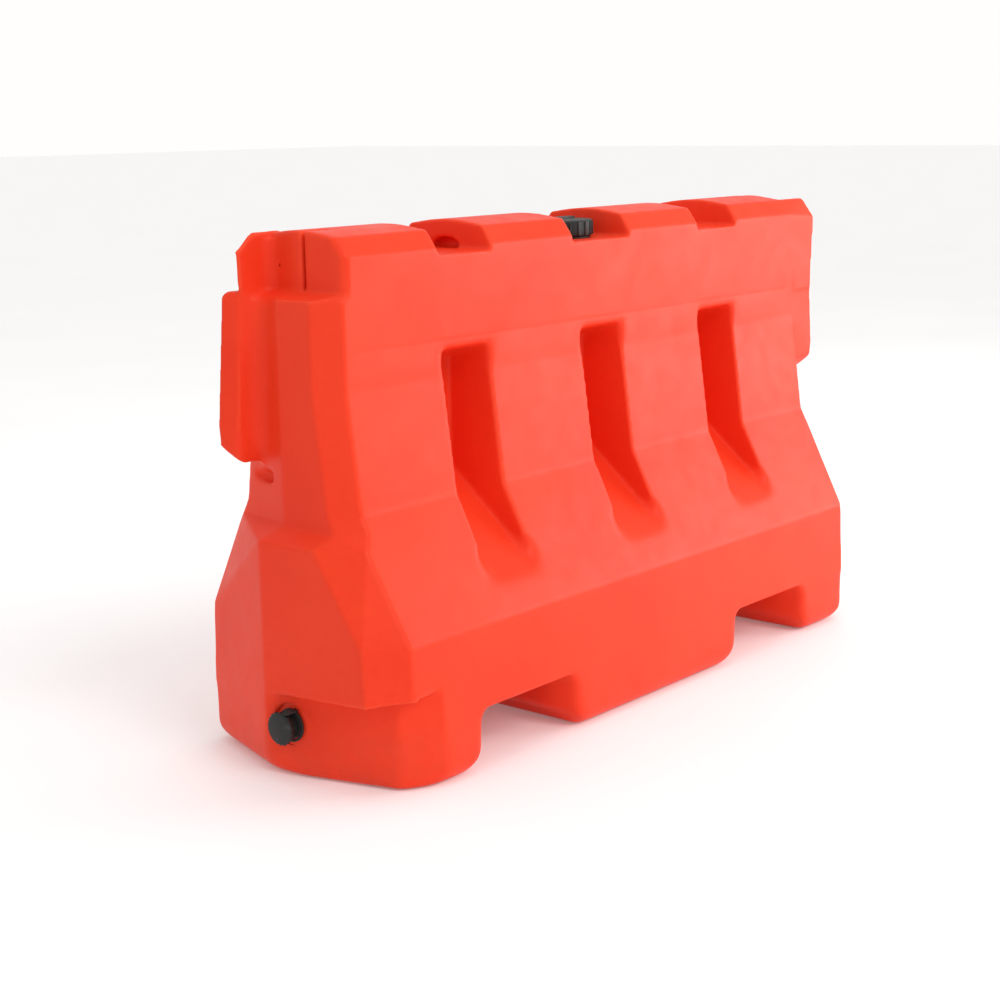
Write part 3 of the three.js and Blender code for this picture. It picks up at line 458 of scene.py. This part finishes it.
# ---------- Materials ----------
class Surface:
    """A Principled material whose inputs are fed by procedural nodes."""

    def __init__(self, name):
        self.material = bpy.data.materials.new(name)
        self.material.use_nodes = True
        self.tree = self.material.node_tree
        self.shader = self.tree.nodes["Principled BSDF"]
        self.place = self.add("ShaderNodeTexCoord").outputs["Object"]

    def add(self, kind, **settings):
        node = self.tree.nodes.new(kind)
        for key, value in settings.items():
            setattr(node, key, value)
        return node

    def feed(self, socket, value):
        if isinstance(value, bpy.types.NodeSocket):
            self.tree.links.new(value, socket)
        else:
            socket.default_value = value

    def noise(self, scale, detail=3.0, roughness=0.55, stretch=None):
        vector = self.place
        if stretch:
            mapping = self.add("ShaderNodeMapping")
            self.feed(mapping.inputs["Vector"], vector)
            mapping.inputs["Scale"].default_value = stretch
            vector = mapping.outputs["Vector"]
        node = self.add("ShaderNodeTexNoise")
        self.feed(node.inputs["Vector"], vector)
        node.inputs["Scale"].default_value = scale
        node.inputs["Detail"].default_value = detail
        node.inputs["Roughness"].default_value = roughness
        return node.outputs["Fac"]

    def spread(self, value, low, high, to_low=0.0, to_high=1.0):
        node = self.add("ShaderNodeMapRange")
        limits = {"From Min": low, "From Max": high, "To Min": to_low, "To Max": to_high}
        for key, number in limits.items():
            node.inputs[key].default_value = number
        self.feed(node.inputs["Value"], value)
        return node.outputs["Result"]

    def math(self, operation, first, second):
        node = self.add("ShaderNodeMath", operation=operation)
        self.feed(node.inputs[0], first)
        self.feed(node.inputs[1], second)
        return node.outputs[0]

    def mix(self, share, first, second):
        node = self.add("ShaderNodeMix", data_type="RGBA")
        self.feed(node.inputs["Factor"], share)
        self.feed(node.inputs[6], first)
        self.feed(node.inputs[7], second)
        return node.outputs[2]

    def bump(self, height, distance, strength, below=None):
        node = self.add("ShaderNodeBump")
        self.feed(node.inputs["Height"], height)
        node.inputs["Distance"].default_value = distance
        node.inputs["Strength"].default_value = strength
        if below is not None:
            self.feed(node.inputs["Normal"], below)
        return node.outputs["Normal"]

    def height(self):
        node = self.add("ShaderNodeSeparateXYZ")
        self.feed(node.inputs[0], self.place)
        return node.outputs["Z"]

    def edges(self, low, high):
        return self.spread(self.add("ShaderNodeNewGeometry").outputs["Pointiness"], low, high)

    def finish(self, colour, roughness, normal):
        self.feed(self.shader.inputs["Base Color"], colour)
        self.feed(self.shader.inputs["Roughness"], roughness)
        self.feed(self.shader.inputs["Normal"], normal)
        return self.material


def shell_material():
    s = Surface("moulded_polyethylene")
    clouds = s.noise(2.6, detail=4)
    specks = s.noise(55, detail=5)
    colour = s.mix(s.spread(clouds, 0.3, 0.7), (0.80, 0.040, 0.013, 1), (0.86, 0.054, 0.018, 1))
    colour = s.mix(s.spread(specks, 0.45, 0.75, 0, 0.22), colour, (0.74, 0.036, 0.010, 1))
    scuffs = s.spread(s.noise(9, detail=6, roughness=0.7, stretch=(1, 6, 9)), 0.64, 0.74)
    low_down = s.spread(s.height(), 0.42, 0.05, 0.25, 1.0)
    scuffs = s.math("MULTIPLY", scuffs, low_down)
    colour = s.mix(s.math("MULTIPLY", scuffs, 0.16), colour, (0.88, 0.15, 0.08, 1))
    # Darker towards the bottom: noisy patches fade in below 0.16 m and pull the colour towards dark
    # brown.
    darker_low_patches = s.math("MULTIPLY", s.spread(s.height(), 0.16, 0.0), s.spread(s.noise(14, detail=6), 0.35, 0.7))
    colour = s.mix(s.math("MULTIPLY", darker_low_patches, 0.22), colour, (0.33, 0.085, 0.06, 1))
    # Painted highlight: convex moulded edges are lightened towards pale orange, standing in for the
    # bright lines that light draws along them.
    colour = s.mix(s.math("MULTIPLY", s.edges(0.515, 0.57), 0.30), colour, (0.90, 0.14, 0.06, 1))
    roughness = s.spread(s.noise(20, detail=4), 0.3, 0.7, 0.34, 0.44)
    roughness = s.math("ADD", roughness, s.math("MULTIPLY", scuffs, 0.14))
    waves = s.bump(s.noise(5.5, detail=1), 0.006, 0.30)
    peel = s.bump(s.noise(430, detail=2), 0.0004, 0.22, waves)
    s.shader.inputs["Subsurface Weight"].default_value = 0.12
    s.shader.inputs["Subsurface Radius"].default_value = (1.0, 0.22, 0.12)
    s.shader.inputs["Subsurface Scale"].default_value = 0.012
    s.shader.inputs["IOR"].default_value = 1.5
    s.shader.inputs["Specular IOR Level"].default_value = 0.12
    return s.finish(colour, roughness, peel)


def cap_material():
    s = Surface("moulded_black_plastic")
    grain = s.noise(700, detail=3)
    clouds = s.noise(35, detail=4)
    colour = s.mix(s.spread(clouds, 0.3, 0.7), (0.009, 0.010, 0.010, 1), (0.017, 0.019, 0.018, 1))
    scuffs = s.spread(s.noise(60, detail=6, roughness=0.75, stretch=(1, 4, 1)), 0.60, 0.72)
    colour = s.mix(s.math("MULTIPLY", scuffs, 0.35), colour, (0.055, 0.055, 0.052, 1))
    colour = s.mix(s.math("MULTIPLY", s.edges(0.53, 0.62), 0.4), colour, (0.070, 0.070, 0.067, 1))
    roughness = s.spread(clouds, 0.3, 0.7, 0.40, 0.52)
    roughness = s.math("ADD", roughness, s.math("MULTIPLY", scuffs, 0.15))
    normal = s.bump(grain, 0.0003, 0.35)
    s.shader.inputs["Specular IOR Level"].default_value = 0.30
    return s.finish(colour, roughness, normal)


def rubber_material():
    s = Surface("black_rubber")
    clouds = s.noise(80, detail=5)
    colour = s.mix(s.spread(clouds, 0.3, 0.7), (0.010, 0.010, 0.010, 1), (0.022, 0.021, 0.020, 1))
    bloom = s.spread(s.noise(25, detail=6), 0.55, 0.75, 0, 0.4)
    colour = s.mix(bloom, colour, (0.050, 0.049, 0.047, 1))
    roughness = s.spread(clouds, 0.3, 0.7, 0.68, 0.84)
    normal = s.bump(s.noise(900, detail=2), 0.0003, 0.4)
    return s.finish(colour, roughness, normal)


def floor_material():
    s = Surface("studio_floor")
    colour = s.mix(s.spread(s.noise(1.2), 0.3, 0.7), (0.88, 0.88, 0.88, 1), (0.91, 0.91, 0.91, 1))
    normal = s.bump(s.noise(60, detail=4), 0.0005, 0.1)
    s.shader.inputs["Emission Color"].default_value = (1.0, 1.0, 1.0, 1)
    s.shader.inputs["Emission Strength"].default_value = FLOOR_GLOW
    return s.finish(colour, 0.6, normal)


# ---------- Studio ----------
def photo_camera():
    azimuth, elevation, roll = map(math.radians, (CAMERA_AZIMUTH, CAMERA_ELEVATION, CAMERA_ROLL))
    level = math.cos(elevation)
    back = Vector((-math.sin(azimuth) * level, -math.cos(azimuth) * level, math.sin(elevation)))
    right = Vector((math.cos(azimuth), -math.sin(azimuth), 0.0))
    up = back.cross(right)
    side = right * math.cos(roll) + up * math.sin(roll)
    top = up * math.cos(roll) - right * math.sin(roll)
    data = bpy.data.cameras.new("camera")
    data.lens = CAMERA_LENS
    data.sensor_width = CAMERA_SENSOR
    camera = bpy.data.objects.new("camera", data)
    turn = Matrix((side, top, back)).transposed().to_4x4()
    camera.matrix_world = Matrix.Translation(Vector(CAMERA_TARGET) + back * CAMERA_DISTANCE) @ turn
    bpy.context.scene.collection.objects.link(camera)
    bpy.context.scene.camera = camera


def softbox(name, place, target, size, power):
    data = bpy.data.lights.new(name, "AREA")
    data.shape = "RECTANGLE"
    data.size, data.size_y = size
    data.energy = power
    lamp = bpy.data.objects.new(name, data)
    lamp.location = place
    lamp.rotation_euler = (Vector(target) - Vector(place)).to_track_quat("-Z", "Y").to_euler()
    bpy.context.scene.collection.objects.link(lamp)


def sun(name, towards, strength, softness):
    data = bpy.data.lights.new(name, "SUN")
    data.energy = strength
    data.angle = math.radians(softness)
    lamp = bpy.data.objects.new(name, data)
    lamp.rotation_euler = Vector(towards).to_track_quat("Z", "Y").to_euler()
    bpy.context.scene.collection.objects.link(lamp)


def studio():
    bm = bmesh.new()
    bmesh.ops.create_grid(bm, x_segments=8, y_segments=8, size=FLOOR_HALF)
    floor = from_bmesh("studio_floor", bm)
    floor.location.z = -FLOOR_DROP
    floor.data.materials.append(floor_material())
    sun("key", towards=(-0.08, -0.76, 0.62), strength=0.88, softness=28)
    softbox("side", place=(4.6, -3.4, 1.5), target=(0, 0, 0.5), size=(3.2, 2.8), power=165)
    softbox("overhead", place=(0.2, -0.2, 4.6), target=(0, 0, 0.5), size=(4.0, 2.6), power=40)
    world = bpy.data.worlds.new("studio")
    world.use_nodes = True
    background = world.node_tree.nodes["Background"]
    background.inputs["Color"].default_value = (1.0, 0.99, 0.98, 1)
    # The background is drawn brighter than it lights the barrier, so that it comes out near white.
    seen = world.node_tree.nodes.new("ShaderNodeLightPath")
    strength = world.node_tree.nodes.new("ShaderNodeMapRange")
    strength.inputs["To Min"].default_value = WORLD_LIGHT
    strength.inputs["To Max"].default_value = WORLD_SEEN
    world.node_tree.links.new(seen.outputs["Is Camera Ray"], strength.inputs["Value"])
    world.node_tree.links.new(strength.outputs["Result"], background.inputs["Strength"])
    bpy.context.scene.world = world
    bpy.context.scene.view_settings.view_transform = "Standard"


# ---------- Assembly ----------
def stand_in(piece, node, body, slot, materials):
    """Puts a finished piece on its body, in place of the CAD node and with the finish of its slot."""
    piece.data.materials.clear()
    piece.data.materials.append(materials[slot])
    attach(piece, body)
    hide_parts(node)


def build():
    photo_camera()
    studio()
    materials = {
        "shell_plastic": shell_material(),
        "cap_plastic": cap_material(),
        "seal_rubber": rubber_material(),
    }
    stand_in(barrier_moulding(), "barrier_shell", "shell", "shell_plastic", materials)
    stand_in(fill_neck(), "fill_neck", "shell", "cap_plastic", materials)
    stand_in(drain_spigot(), "drain_fitting", "shell", "cap_plastic", materials)
    for node, name, width, body, slot in REFINED:
        stand_in(refined(node, name, width), node, body, slot, materials)


build()
bpy.context.view_layer.update()
